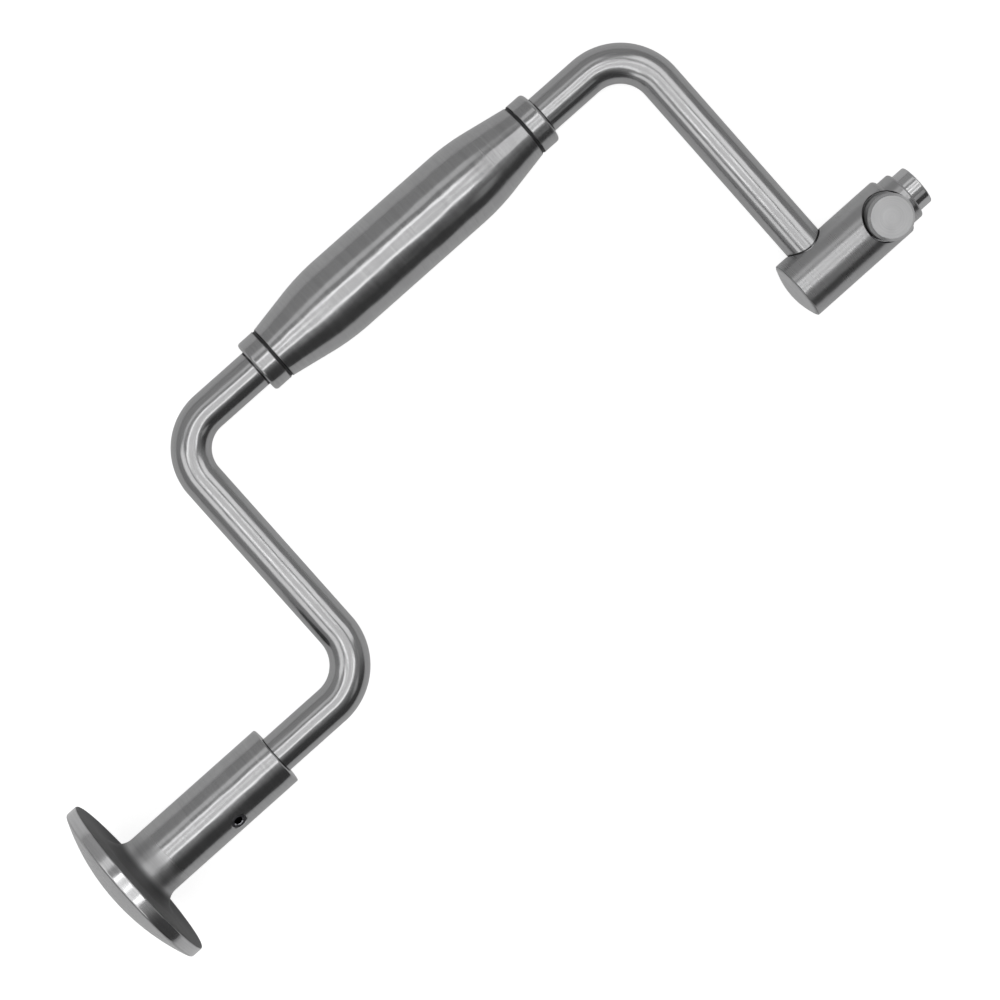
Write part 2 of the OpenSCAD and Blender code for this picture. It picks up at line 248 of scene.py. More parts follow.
def more_stations(rows, stations):
    """Adds points at the stations to the straight runs that hold them, blended from the run's two ends."""
    parts = [rows[:1]]
    for a, b in zip(rows[:-1], rows[1:]):
        low, high = sorted((a[0], b[0]))
        inside = stations[(stations > low + SAME_STATION) & (stations < high - SAME_STATION)]
        if abs(a[1] - b[1]) < SAME_RADIUS and len(inside):
            t = np.sort((inside - a[0]) / (b[0] - a[0]))[:, None]
            parts.append(a + (b - a) * t)
        parts.append(b[None])
    return np.concatenate(parts)


def sheet(points, normals, edge, uv, keep=None):
    """A grid of points as quads: four corners each of place, normal, edge mark and map."""
    def corners(grid):
        return np.stack((grid[:-1, :-1], grid[1:, :-1], grid[1:, 1:], grid[:-1, 1:]), 2)
    parts = [corners(g) for g in (points, normals, edge[..., None], uv)]
    mask = np.ones(parts[0].shape[:2], bool) if keep is None else keep
    return [p[mask] for p in parts]


def carry(rows, around, path, first=0.0, keep=None):
    """An outline carried round a path: centre(station) + radius * (cos(angle) * side + sin(angle) * up).

    The angle runs once round from first. The map's first direction runs along the piece and its second round
    it, so that the shine spreads along it, as on steel that was turned or ground round.
    """
    turn = first + np.linspace(0, 2 * pi, around + 1)
    centre, tangent, side, up = path(rows[:, 0])
    out = np.cos(turn)[None, :, None] * side[:, None] + np.sin(turn)[None, :, None] * up[:, None]
    out[:, -1] = out[:, 0]
    points = centre[:, None] + rows[:, 1, None, None] * out
    normals = rows[:, 3, None, None] * out + rows[:, 2, None, None] * tangent[:, None]
    run = np.r_[0, np.cumsum(np.linalg.norm(np.diff(rows[:, :2], axis=0), axis=1))]
    uv = np.stack(np.broadcast_arrays((run / run[-1])[:, None], np.linspace(0, 1, around + 1)[None]), -1)
    edge = np.broadcast_to(rows[:, 4, None], points.shape[:2])
    return sheet(points, normals, edge, uv, keep)


def straight(y=0.0):
    """A path along the drive axis, or beside it at y: the centre is (station, y, 0)."""
    def path(s):
        ones = np.ones_like(s)
        unit = [np.stack([ones * v for v in axis], 1) for axis in np.eye(3)]
        return np.stack((s, ones * y, 0 * ones), 1), *unit
    return path


def build(name, sheets):
    """One closed mesh from sheets: equal corners are joined, and quads at a pole become triangles.

    Faces look along their normals, so a quad whose diagonals cross the other way is turned round.
    """
    place, normal, edge, uv = (np.concatenate([s[k] for s in sheets]) for k in range(4))
    cross = np.cross(place[:, 2] - place[:, 0], place[:, 3] - place[:, 1])
    back = (cross * normal.sum(1)).sum(1) < 0
    for part in (place, normal, edge, uv):
        part[back] = part[back][:, ::-1]
    keys = np.round(place.reshape(-1, 3) / MERGE).astype(np.int64)
    _, first, index = np.unique(keys, axis=0, return_index=True, return_inverse=True)
    index = index.reshape(-1, 4)
    real = index != np.roll(index, -1, 1)
    real[real.sum(1) < 3] = False
    verts = placed(place.reshape(-1, 3)[first])
    normals = turned(normal[real])
    normals /= np.linalg.norm(normals, axis=1)[:, None]
    total = real.sum(1)
    total = total[total > 0]
    loops = index[real]
    mesh = bpy.data.meshes.new(name)
    mesh.vertices.add(len(verts))
    mesh.vertices.foreach_set("co", verts.astype(np.float32).ravel())
    mesh.loops.add(len(loops))
    mesh.loops.foreach_set("vertex_index", loops.astype(np.int32))
    mesh.polygons.add(len(total))
    mesh.polygons.foreach_set("loop_start", np.r_[0, np.cumsum(total)[:-1]].astype(np.int32))
    mesh.polygons.foreach_set("use_smooth", np.ones(len(total), bool))
    mesh.update(calc_edges=True)
    mesh.uv_layers.new(name="turned").data.foreach_set("uv", uv[real].astype(np.float32).ravel())
    mark = mesh.attributes.new("edge", "FLOAT", "CORNER")
    mark.data.foreach_set("value", edge[real][:, 0].astype(np.float32))
    mesh.normals_split_custom_set(normals.tolist())
    return mesh


def put(name, sheets, body, slot, material, *nodes):
    """The finished piece: it rides on its body, stands for its CAD nodes and takes its finish."""
    piece = bpy.data.objects.new(name, build(name, sheets))
    bpy.context.scene.collection.objects.link(piece)
    piece.data.materials.append(material)
    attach(piece, body)
    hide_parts(*nodes)
    return piece


def dress(material, *nodes):
    """CAD nodes whose shape is right keep it and take a finish."""
    for name in nodes:
        frame["nodes"][name].material_slots[0].material = material


# Effects shared by the finishes

def group(name, inputs, outputs):
    """An empty node group with named sockets."""
    tree = bpy.data.node_groups.new(name, "ShaderNodeTree")
    for label, kind, default in inputs:
        socket = tree.interface.new_socket(name=label, in_out="INPUT", socket_type=kind)
        if default is not None:
            socket.default_value = default
    for label in outputs:
        tree.interface.new_socket(name=label, in_out="OUTPUT", socket_type="NodeSocketFloat")
    return tree, tree.nodes.new("NodeGroupInput"), tree.nodes.new("NodeGroupOutput")


def blank(made, kind):
    """The emptied node tree of a material or world, and the Surface of its output."""
    made.use_nodes = True
    made.node_tree.nodes.clear()
    return made.node_tree, made.node_tree.nodes.new("ShaderNodeOutput" + kind).inputs["Surface"]


def vector(label):
    """A group's input that takes a vector."""
    return label, "NodeSocketVector", None


def number(label, default=None):
    """A group's input that takes a number."""
    return label, "NodeSocketFloat", default


def node(tree, kind, choices=None, **inputs):
    """A node with its choices set, whose inputs take a value or another node's socket.

    An input goes by its name, with _ for a space, or by its place as i0, i1 and so on.
    """
    made = tree.nodes.new(kind)
    for key, value in (choices or {}).items():
        setattr(made, key, value)
    for key, value in inputs.items():
        by_place = key[0] == "i" and key[1:].isdigit()
        slot = made.inputs[int(key[1:])] if by_place else made.inputs[key.replace("_", " ")]
        if isinstance(value, bpy.types.NodeSocket):
            tree.links.new(value, slot)
        else:
            slot.default_value = value
    return made


def maths(tree, operation, *values, clamp=False):
    inputs = {f"i{k}": v for k, v in enumerate(values)}
    return node(tree, "ShaderNodeMath", {"operation": operation, "use_clamp": clamp}, **inputs).outputs[0]


def vectors(tree, operation, first, **others):
    return node(tree, "ShaderNodeVectorMath", {"operation": operation}, i0=first, **others).outputs


def noise(tree, place, scale, detail, **others):
    return node(tree, "ShaderNodeTexNoise", Vector=place, Scale=scale, Detail=detail, **others).outputs["Fac"]


def ramp(tree, value, low, high, start=0.0, end=1.0, kind="SMOOTHSTEP"):
    """start below low, end above high, and a smooth change between."""
    made = node(tree, "ShaderNodeMapRange", {"interpolation_type": kind},
                Value=value, From_Min=low, From_Max=high, To_Min=start, To_Max=end)
    return made.outputs["Result"]


def plus(tree, base, mask, amount):
    """base + mask * amount"""
    return maths(tree, "MULTIPLY_ADD", mask, amount, base)


def turned_run_group():
    """Measures on a turned piece of axis X: Along it, Off it, and Run, their sum, which rings faces too."""
    tree, given, out = group("Turned run", [vector("Place")], ["Run", "Along", "Off"])
    split = node(tree, "ShaderNodeSeparateXYZ", i0=given.outputs["Place"])
    flat = node(tree, "ShaderNodeCombineXYZ", Y=split.outputs["Y"], Z=split.outputs["Z"])
    far = vectors(tree, "LENGTH", flat.outputs[0])["Value"]
    tree.links.new(split.outputs["X"], out.inputs["Along"])
    tree.links.new(far, out.inputs["Off"])
    tree.links.new(maths(tree, "ADD", split.outputs["X"], far), out.inputs["Run"])
    return tree


def streaks(tree, out, ways):
    """Noise at two ways, the finer one the stronger, as the group's height."""
    fine_share = 0.6
    fine, broad = (noise(tree, way, 1.0, detail, Roughness=0.6) for way, detail in zip(ways, (2.0, 3.0)))
    height = plus(tree, maths(tree, "MULTIPLY", fine, fine_share), broad, 1 - fine_share)
    tree.links.new(height, out.inputs["Height"])
    return tree


def turned_grain_group():
    """Scratches round the piece: noise that changes fast along it and slowly round it, in two sizes."""
    inputs = [number("Run"), vector("Place"), number("Fine", 3200.0), number("Broad", 500.0)]
    tree, given, out = group("Turned grain", inputs, ["Height"])
    slow = vectors(tree, "SCALE", given.outputs["Place"], Scale=70.0)[0]
    ways = []
    for pace in ("Fine", "Broad"):
        fast = maths(tree, "MULTIPLY", given.outputs["Run"], given.outputs[pace])
        row = node(tree, "ShaderNodeCombineXYZ", X=fast).outputs[0]
        ways.append(vectors(tree, "ADD", row, i1=slow)[0])
    return streaks(tree, out, ways)


def drawn_grain_group():
    """Streaks along a bent bar, which follow its bends and have no seam.

    Its map, (share of the length, share of the turn), is wound onto a straight bar:
    (length * u, radius * cos(2 pi v), radius * sin(2 pi v)).
    """
    tree, given, out = group(
        "Drawn grain", [vector("Map"), number("Length", 0.3), number("Radius", 0.005)], ["Height"])
    split = node(tree, "ShaderNodeSeparateXYZ", i0=given.outputs["Map"])
    along = maths(tree, "MULTIPLY", split.outputs["X"], given.outputs["Length"])
    turn = maths(tree, "MULTIPLY", split.outputs["Y"], 2 * pi)
    side, up = (maths(tree, "MULTIPLY", maths(tree, wave, turn), given.outputs["Radius"])
                for wave in ("COSINE", "SINE"))
    bar = node(tree, "ShaderNodeCombineXYZ", X=along, Y=side, Z=up).outputs[0]
    fine, broad = (260.0, 5200.0, 5200.0), (60.0, 1300.0, 1300.0)
    return streaks(tree, out, [vectors(tree, "MULTIPLY", bar, i1=scale)[0] for scale in (fine, broad)])


def handling_group():
    """Soft patches where hands have dulled the surface, from 0 to 1."""
    tree, given, out = group("Handling marks", [vector("Place"), number("Size", 90.0)], ["Mask"])
    clean, dull = 0.42, 0.68
    cloud = noise(tree, given.outputs["Place"], given.outputs["Size"], 4.0, Roughness=0.55, Distortion=0.4)
    tree.links.new(ramp(tree, cloud, clean, dull), out.inputs["Mask"])
    return tree


def edge_wear_group():
    """Rounded edges rubbed bright: the mesh's edge mark, broken up by fine noise."""
    tree, given, out = group("Edge wear", [vector("Place"), number("Amount", 0.6)], ["Mask"])
    scale, whole, bright = 700.0, 0.3, 0.6
    mark = node(tree, "ShaderNodeAttribute", {"attribute_name": "edge"}).outputs["Fac"]
    broken = ramp(tree, noise(tree, given.outputs["Place"], scale, 3.0), whole, bright, kind="LINEAR")
    worn = maths(tree, "MULTIPLY", mark, broken)
    tree.links.new(maths(tree, "MULTIPLY", worn, given.outputs["Amount"], clamp=True), out.inputs["Mask"])
    return tree


def seam_dirt_and_shade_group():
    """Dirt and painted shade in a seam: full within half a width of its station, gone at a whole one, and
    thinner in places.
    """
    inputs = [number("Way"), number("Station", 0.0), number("Width", 0.5 * MM), vector("Place")]
    tree, given, out = group("Seam dirt", inputs, ["Mask"])
    scale, least = 500.0, 0.6
    off = maths(tree, "ABSOLUTE", maths(tree, "SUBTRACT", given.outputs["Way"], given.outputs["Station"]))
    near = ramp(tree, maths(tree, "DIVIDE", off, given.outputs["Width"]), 0.5, 1.0, 1.0, 0.0)
    thin = ramp(tree, noise(tree, given.outputs["Place"], scale, 2.0), 0.25, 0.5, least, 1.0)
    tree.links.new(maths(tree, "MULTIPLY", near, thin), out.inputs["Mask"])
    return tree


def waviness_group():
    """The slow unevenness that polishing by hand leaves: one soft noise, longer along X than across it."""
    tree, given, out = group("Waviness", [vector("Place"), number("Size", 240.0)], ["Height"])
    long = vectors(tree, "MULTIPLY", given.outputs["Place"], i1=(0.6, 1.0, 1.0))[0]
    tree.links.new(noise(tree, long, given.outputs["Size"], 1.0, Roughness=0.4), out.inputs["Height"])
    return tree


EFFECTS = {
    "Turned run": turned_run_group, "Turned grain": turned_grain_group, "Drawn grain": drawn_grain_group,
    "Waviness": waviness_group, "Handling marks": handling_group, "Edge wear": edge_wear_group,
    "Seam dirt": seam_dirt_and_shade_group}


def effect(tree, name, **inputs):
    """The outputs of a shared effect, whose node group is built on first use."""
    shared = bpy.data.node_groups.get(name) or EFFECTS[name]()
    return node(tree, "ShaderNodeGroup", {"node_tree": shared}, **inputs).outputs


# Finishes

# grain: the noise at its dark and light streaks, how far they darken, lighten and roughen, and its relief
GRAIN = SimpleNamespace(
    low=0.32, high=0.68, darker=0.10, lighter=0.07, rougher=0.16, strength=0.2, depth=0.05 * MM)
WAVE_DEPTH = 0.08 * MM
# what a rubbed edge loses in roughness, what dirt in a seam adds to it, and how far a seam's dirt and painted
# shade darken the colour
RUBBED_SMOOTHER, DIRT_ROUGHER, DIRT_AND_SHADE_DARKER = 0.08, 0.35, 0.88


def own_frame(station, direction=None):
    """The place and turn that centre a pattern at a station: X along the drive axis, or along direction."""
    turn = AXES.turn
    if direction is not None:
        side = np.cross(AXES.turn[0], direction)
        turn = np.stack((direction, side, np.cross(direction, side)))
    return placed([station, 0, 0]), Matrix(turn.T.tolist()).to_euler("XYZ")


def span(station, low, high):
    """Two stations, low and high millimetres past the given one."""
    return station + low * MM, station + high * MM


def zone(rougher, shade, comes=None, goes=None):
    """A stretch along a piece whose roughness differs and whose colour is painted lighter or darker: painted
    light or shade.

    It comes in between two stations and goes out between two others. Without the first two it is there from
    the start, and without the others it goes on to the end.
    """
    return SimpleNamespace(rougher=rougher, shade=shade, comes=comes, goes=goes)


def seam(station, width, measure="Along", place=None, beyond=None):
    """A line of dirt and painted shade at a station Along a piece, or at a distance Off its axis.

    The axis is the finish's own, or another place's. The line may show only beyond a station along it.
    """
    return SimpleNamespace(station=station, width=width, measure=measure, place=place, beyond=beyond)


def located(tree, place):
    """Object coordinates in the frame at that place, and the measures of a turned piece in it."""
    coordinate = tree.nodes.new("ShaderNodeTexCoord").outputs["Object"]
    mapping = node(tree, "ShaderNodeMapping", {"vector_type": "TEXTURE"},
                   Vector=coordinate, Location=place[0], Rotation=place[1])
    return mapping.outputs[0], effect(tree, "Turned run", Place=mapping.outputs[0])


def drawn_out_shine(tree, shader, spread, tangent):
    """Spreads the shine along the piece: the way of the UV map, or of the axis, that tangent names."""
    direction, turns = {"direction_type": "UV_MAP", "uv_map": tangent}, 0.0
    if tangent in ("X", "Y", "Z"):
        direction, turns = {"direction_type": "RADIAL", "axis": tangent}, 0.25
    shader.inputs["Anisotropic"].default_value = spread
    shader.inputs["Anisotropic Rotation"].default_value = turns
    tree.links.new(node(tree, "ShaderNodeTangent", direction).outputs[0], shader.inputs["Tangent"])


def satin(name, colour, roughness, place, metal=1.0, spread=0.0, tangent="turned", drawn=None, grain=1.0,
          wavy=1.0, worn=0.25, bare_and_glint=0.4, handled=0.05, zones=(), seams=()):
    """A satin finish. Grain tilts and shades it, hands dull it, its edges are rubbed, zones paint light and
    shade on it and its seams hold dirt and painted shade.

    place is the (origin, turn) that centres the pattern. drawn is (length, radius) of a bent bar, whose grain
    runs along it. grain, wavy, worn and handled say how much there is of each, and bare how much brighter a
    rubbed edge is: worn steel, and on the screw's socket rim, brighter than steel, a painted glint.
    """
    made = bpy.data.materials.new(name)
    tree, surface = blank(made, "Material")
    shader = node(tree, "ShaderNodeBsdfPrincipled", Metallic=metal)
    tree.links.new(shader.outputs[0], surface)
    at, measures = located(tree, place)
    if spread:
        drawn_out_shine(tree, shader, spread, tangent)
    if drawn:
        wound = node(tree, "ShaderNodeUVMap", {"uv_map": "turned"}).outputs[0]
        height = effect(tree, "Drawn grain", Map=wound, Length=drawn[0], Radius=drawn[1])["Height"]
    else:
        height = effect(tree, "Turned grain", Run=measures["Run"], Place=at)["Height"]
    darkest, lightest = 1 - GRAIN.darker * grain, 1 + GRAIN.lighter * grain
    shade = ramp(tree, height, GRAIN.low, GRAIN.high, darkest, lightest, kind="LINEAR")
    hands = effect(tree, "Handling marks", Place=at)["Mask"]
    rough = plus(tree, roughness - GRAIN.rougher / 2, height, GRAIN.rougher)
    rough = plus(tree, rough, hands, handled)
    # each zone changes the roughness of a stretch and paints light or shade into its colour
    for stretch in zones:
        ends = [ramp(tree, measures["Along"], *stretch.comes)] if stretch.comes else []
        ends += [ramp(tree, measures["Along"], *stretch.goes, 1.0, 0.0)] if stretch.goes else []
        mask = maths(tree, "MULTIPLY", *ends) if len(ends) == 2 else ends[0]
        rough = plus(tree, rough, mask, stretch.rougher)
        shade = maths(tree, "MULTIPLY", shade, plus(tree, 1.0, mask, stretch.shade - 1.0))
    # rubbed edges get smoother and lighter: worn steel, and on the screw's socket rim so much lighter than
    # steel that it is a painted glint
    if worn:
        rubbed = effect(tree, "Edge wear", Place=at, Amount=worn)["Mask"]
        rough = plus(tree, rough, rubbed, -RUBBED_SMOOTHER)
        shade = plus(tree, shade, rubbed, bare_and_glint)
    # seams: dirt roughens joints and gaps, and dirt and painted shade darken their colour where shade falls
    # between parts
    for line in seams:
        own = located(tree, line.place)[1] if line.place else measures
        way = own[line.measure]
        dirt_and_shade = effect(tree, "Seam dirt", Way=way, Station=line.station, Width=line.width, Place=at)["Mask"]
        if line.beyond is not None:
            dirt_and_shade = maths(tree, "MULTIPLY", dirt_and_shade, ramp(tree, own["Along"], *span(line.beyond, 0, 1)))
        rough = plus(tree, rough, dirt_and_shade, DIRT_ROUGHER)
        shade = maths(tree, "MULTIPLY", shade, plus(tree, 1.0, dirt_and_shade, -DIRT_AND_SHADE_DARKER))
    tree.links.new(vectors(tree, "SCALE", colour, Scale=shade)[0], shader.inputs["Base Color"])
    tree.links.new(rough, shader.inputs["Roughness"])
    soft = effect(tree, "Waviness", Place=at)["Height"]
    wave = node(tree, "ShaderNodeBump", Strength=1.0, Distance=WAVE_DEPTH * wavy, Height=soft)
    bump = node(tree, "ShaderNodeBump", Strength=GRAIN.strength * grain, Distance=GRAIN.depth, Height=height,
                Normal=wave.outputs[0])
    tree.links.new(bump.outputs[0], shader.inputs["Normal"])
    return made


def finish_of(name):
    """A finish by name, made on first use and shared by the pieces that have it."""
    return bpy.data.materials.get(name) or satin(name, **finishes()[name])


def finishes():
    """What each finish is made of: colour, roughness, the place that centres it, and its own marks."""
    s = settings()
    p, rod, g, c = s.palm, s.rod, s.grip, s.chuck
    look, rough = s.finish, s.finish.satin
    # light is the steel painted lighter, for the end cap's dome: painted light; dark is a darker ground steel
    steel, light, dark = (tuple(v * share for v in look.steel) for share in (1.0, 1.35, 0.85))
    drive = own_frame(0.0)
    grip = (drive[0] + turned([0, rod.throw, 0]), drive[1])
    arm = own_frame(rod.arm_2, AXES.turn[1])
    button = own_frame(c.button, AXES.press)
    back, face, top = p.dome + p.rim, c.button_top - c.button_chamfer, c.button_top
    middle, half = (rod.arm_1 + rod.arm_2) / 2, g.grip_length / 2
    collars = [middle + side * (half + g.gap + g.collar) for side in (-1, 1)]
    # the gaps round the washers get dirt and painted shade
    washers = [seam(middle + side * (half + g.gap / 2), 0.68 * MM) for side in (-1, 1)]
    return {
        # the palm is painted lighter on its dome and rim and darker on the disc's back face, as painted light
        # and painted shade; the back is also rougher, the rim smoother, and the fillet rougher and a little
        # painted lighter
        "satin_palm": dict(colour=steel, roughness=rough, place=drive, spread=0.6, zones=(
            zone(0.05, 1.25, goes=span(p.dome, -0.5, -0.1)),
            zone(-0.045, 1.35, span(p.dome, 0.2, 0.6), span(back, -0.6, -0.2)),
            zone(0.5, 0.36, span(back, -0.4, -0.1), span(back, 1.5, 3.5)),
            zone(0.24, 1.05, span(back, 1.5, 3.5), span(back, 6, 10)))),
        "satin_rod": dict(
            colour=steel, roughness=rough - 0.02, place=drive, wavy=0.6,
            drawn=(rod_length(rod), rod.diameter / 2), seams=(
                # the rod darkens with dirt and painted shade where it enters the sleeve, the collars and the
                # barrel
                seam(station_of_mouth(), 0.22 * MM), *(seam(at, 0.6 * MM) for at in collars),
                seam(c.barrel / 2, 0.2 * MM, "Off", beyond=rod.arm_2 - 20 * MM))),
        # the collars darken with dirt and painted shade round the rod and at the washers
        "satin_collar": dict(colour=steel, roughness=rough, place=grip, spread=0.5,
                             seams=(seam(rod.diameter / 2, 0.55 * MM, "Off"), *washers)),
        "satin_grip": dict(colour=steel, roughness=rough, place=grip, spread=0.6, seams=washers),
        "satin_barrel": dict(
            colour=steel, roughness=rough + 0.08, place=drive, spread=0.5, tangent="X", grain=0.4, worn=0,
            # from the step on, the nose is smoother and painted lighter: a painted highlight
            zones=(zone(-0.13, 1.25, span(c.step, -0.2, 0.2)),),
            # the barrel darkens with dirt and painted shade round the rod's hole and the button's well
            seams=(seam(rod.diameter / 2 + 0.1 * MM, 0.18 * MM, "Off", arm, MM),
                   seam(c.well / 2, 0.2 * MM, "Off", button, MM))),
        # the end cap's colour is painted lighter: painted light
        "satin_cap": dict(colour=light, roughness=rough + 0.12, place=drive),
        # the button: a painted highlight on its chamfer, painted shade on the side of its head, a painted
        # dark line round that side for a groove's shade, and its face painted lighter
        "matt_button": dict(colour=steel, roughness=rough + 0.14, place=button, worn=0, zones=(
            zone(-0.16, 1.3, span(face, -0.05, 0.05), span(top, -0.05, -0.01)),
            zone(0.05, 0.7, goes=span(face, -0.05, 0)),
            zone(0.1, 0.4, span(face, -1.3, -1.2), span(face, -0.95, -0.85)),
            zone(0.0, 1.14, span(top, -0.05, -0.01)))),
        "ground_steel": dict(colour=dark, roughness=0.2, place=drive, worn=0, grain=0.5),
        "bush_bronze": dict(colour=tuple(look.bronze), roughness=0.32, place=grip, worn=0),
        "spring_wire": dict(colour=dark, roughness=0.26, place=button, worn=0, grain=0.5),
        # the socket's rim is rubbed far brighter than steel: partly wear, partly a painted glint
        "black_screw": dict(
            colour=tuple(look.black), roughness=0.2, place=drive, grain=0.6, worn=0.9, bare_and_glint=13.0),
        "black_washer_and_gap_shade": dict(colour=tuple(look.washer_and_gap_black), roughness=0.5, place=grip, metal=0.0, worn=0),
    }


# Pieces

def hole_curve(theta, radius, hole):
    """Where a hole's wall meets a cylinder of that radius: its distance from the hole's axis, and its height.

    The height over the hole's own plane is sqrt(radius^2 - (rho * sin theta)^2). hole holds the wall's radius
    rho and the height where a 45 degree flare widens it, or None. A flare's rho depends on the height and the
    height on rho, so both are found in turns.
    """
    def height(rho):
        return np.sqrt(radius ** 2 - (rho * np.sin(theta)) ** 2)
    wall, flare = hole
    rho, turns = np.full_like(theta, wall), 12
    for _ in range(0 if flare is None else turns):
        rho = wall + np.maximum(height(rho) - flare, 0)
    return rho, height(rho)


def window(centre, turn, radius, half, cells, hole, inward, rings=8):
    """A square window of a cylinder with a round hole in it: its sheet, and the hole's curve in its own axes.

    Its border follows the cylinder's own grid, and each ring between border and hole is a straight blend of
    the two in the hole's plane, lifted back onto the cylinder.
    """
    n, one = np.linspace(-1, 1, cells + 1), np.ones(cells)
    fall = n[::-1][:-1]
    side_a = np.concatenate((one, fall, -one, n[:-1])) * half[0]
    side_b = np.concatenate((n[:-1], one, fall, -one)) * half[1]
    a, b = np.r_[side_a, side_a[0]], radius * np.sin(np.r_[side_b, side_b[0]])
    theta = np.arctan2(b, a)
    rho, _ = hole_curve(theta, radius, hole)
    t = np.linspace(0, 1, rings + 1)[:, None]
    across = (1 - t) * a + t * rho * np.cos(theta)
    over = (1 - t) * b + t * rho * np.sin(theta)
    lift = np.sqrt(radius ** 2 - over ** 2)
    local = np.stack((across, over, lift), -1)
    normal = np.stack((0 * across, over / radius, lift / radius), -1) * (-1 if inward else 1)
    uv = np.stack(((across + half[0]) / half[0] / 2, (over + radius) / radius / 2), -1)
    points = from_hole(local, turn) + [centre, 0, 0]
    return sheet(points, from_hole(normal, turn), np.zeros(points.shape[:2]), uv), local[-1]


def from_hole(local, turn):
    """A hole's own axes, X along the drive axis and Z out of the hole, turned into the tool frame."""
    x, y, z = np.moveaxis(local, -1, 0)
    return np.stack((x, y * cos(turn) - z * sin(turn), y * sin(turn) + z * cos(turn)), -1)


class HANDDRILL_OT_palm_rest(bpy.types.Operator):
    """Palm disc and sleeve, turned from one piece, with the retaining screw's hole."""
    bl_idname = "handdrill.palm_rest"
    bl_label = "Palm Rest"

    def execute(self, context):
        s = settings()
        p, around = s.palm, s.finish.around
        centre = station_of_mouth() - p.screw_back
        cells, reach = 24, 3.6 * MM
        half = (reach, 2 * pi * (cells / 2) / around)
        outline = more_stations(self.outline(p), centre + np.linspace(-1, 1, cells + 1) * half[0])
        mid = (outline[:-1, 0] + outline[1:, 0]) / 2
        inside = (abs(mid - centre) < reach) & (abs(outline[:-1, 1] - outline[1:, 1]) < SAME_RADIUS)
        columns = np.r_[0:cells // 2, around - cells // 2:around]
        keep = np.ones((len(outline) - 1, around), bool)
        keep[np.ix_(inside, columns)] = False
        skin = carry(outline, around, straight(), pi / 2 + p.screw_turn, keep)
        put("palm_rest_turned", [skin, *self.screw_hole(p, centre, half, cells)],
            "palm", "palm_steel", finish_of("satin_palm"), "palm_rest")
        dress(finish_of("ground_steel"), "thrust_ball")
        return {"FINISHED"}

    def outline(self, p):
        """The dome, of ball radius (r^2 + h^2) / 2h, then the rim, the back, the sleeve and its bore."""
        back, mouth = p.dome + p.rim, station_of_mouth()
        big, bore, tube, rings = p.disc / 2, p.bore / 2, p.sleeve / 2, 40
        ball = (big ** 2 + p.dome ** 2) / (2 * p.dome)
        dome = [(ball - np.sqrt(ball ** 2 - r ** 2), r, 0) for r in big * np.linspace(0, 1, rings)[:-2]]
        chamfer, edge, drill_point = 0.4 * MM, 0.08 * MM, radians(118)
        return profile([
            *dome, (p.dome, big, p.front_edge), (back, big, p.back_edge), (back, tube, p.fillet),
            (mouth, tube, chamfer), (mouth, bore + chamfer, edge), (mouth - chamfer, bore, edge),
            (p.seat + bore / tan(drill_point / 2), bore, 0.1 * MM), (p.seat, 0, 0)], arc_steps=10)

    def screw_hole(self, p, centre, half, cells):
        """The sleeve's windows outside and in, and between them the hole's wall with its flare."""
        turn, r, tube = p.screw_turn, p.screw / 2, p.sleeve / 2
        flare = tube - p.screw_sunk
        outer, rim = window(centre, turn, tube, half, cells, (r, flare), False)
        inner, low = window(centre, turn, p.bore / 2, half, cells, (r, None), True)
        theta = np.arctan2(rim[:, 1], rim[:, 0])
        neck = np.stack((r * np.cos(theta), r * np.sin(theta), np.minimum(flare, rim[:, 2])), -1)
        sheets = [outer, inner]
        for a, b, lean in ((rim, neck, 1.0), (neck, low, 0.0)):
            points = np.stack((a, b))
            way = np.arctan2(points[..., 1], points[..., 0])
            normal = np.stack((-np.cos(way), -np.sin(way), np.full_like(way, lean)), -1)
            normal /= np.linalg.norm(normal, axis=-1, keepdims=True)
            uv = np.stack(((way + pi) / 2 / pi, points[..., 2] / tube), -1)
            placing = from_hole(points, turn) + [centre, 0, 0]
            sheets.append(sheet(placing, from_hole(normal, turn), np.zeros(way.shape), uv))
        return sheets


